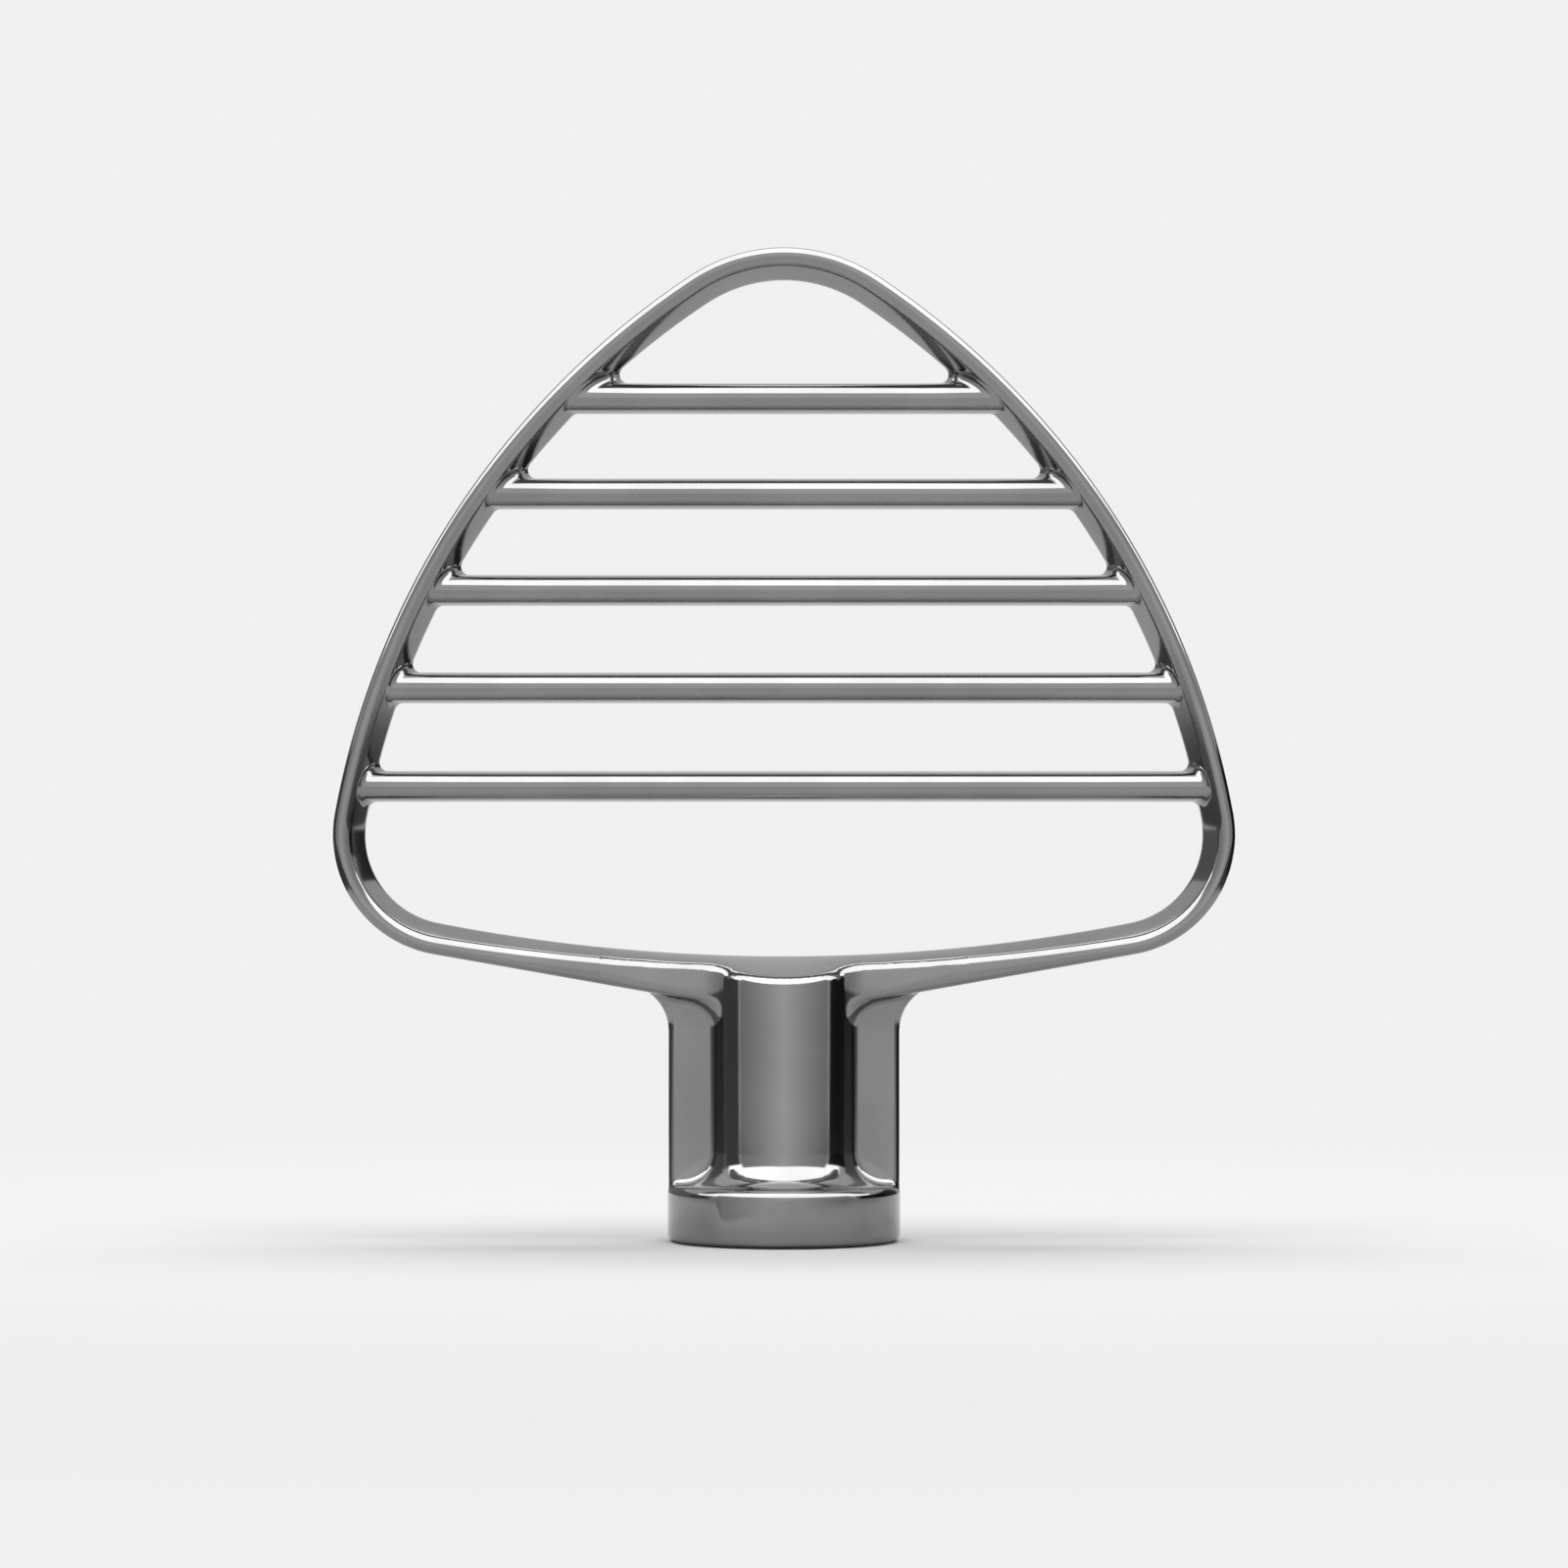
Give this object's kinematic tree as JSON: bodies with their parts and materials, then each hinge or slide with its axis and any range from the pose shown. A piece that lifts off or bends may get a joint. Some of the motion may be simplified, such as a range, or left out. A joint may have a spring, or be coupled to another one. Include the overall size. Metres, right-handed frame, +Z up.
{
  "type": "pastry beater",
  "caption": "Rounded triangular beater frame with level cross bars, standing on a round hub that is bored to fit the spindle of a kitchen mixer.",
  "frame": {"origin": "centre of the hub's face, which the beater stands on", "axes": "+Z up along the spindle axis to the tip, X across the frame, Y through the frame's depth"},
  "size_m": [0.1274, 0.033, 0.1406],
  "materials": {
    "polished_steel": "polished cast stainless steel"
  },
  "bodies": {
    "root": {"pastry_beater": "polished_steel"}
  },
  "joints": []
}
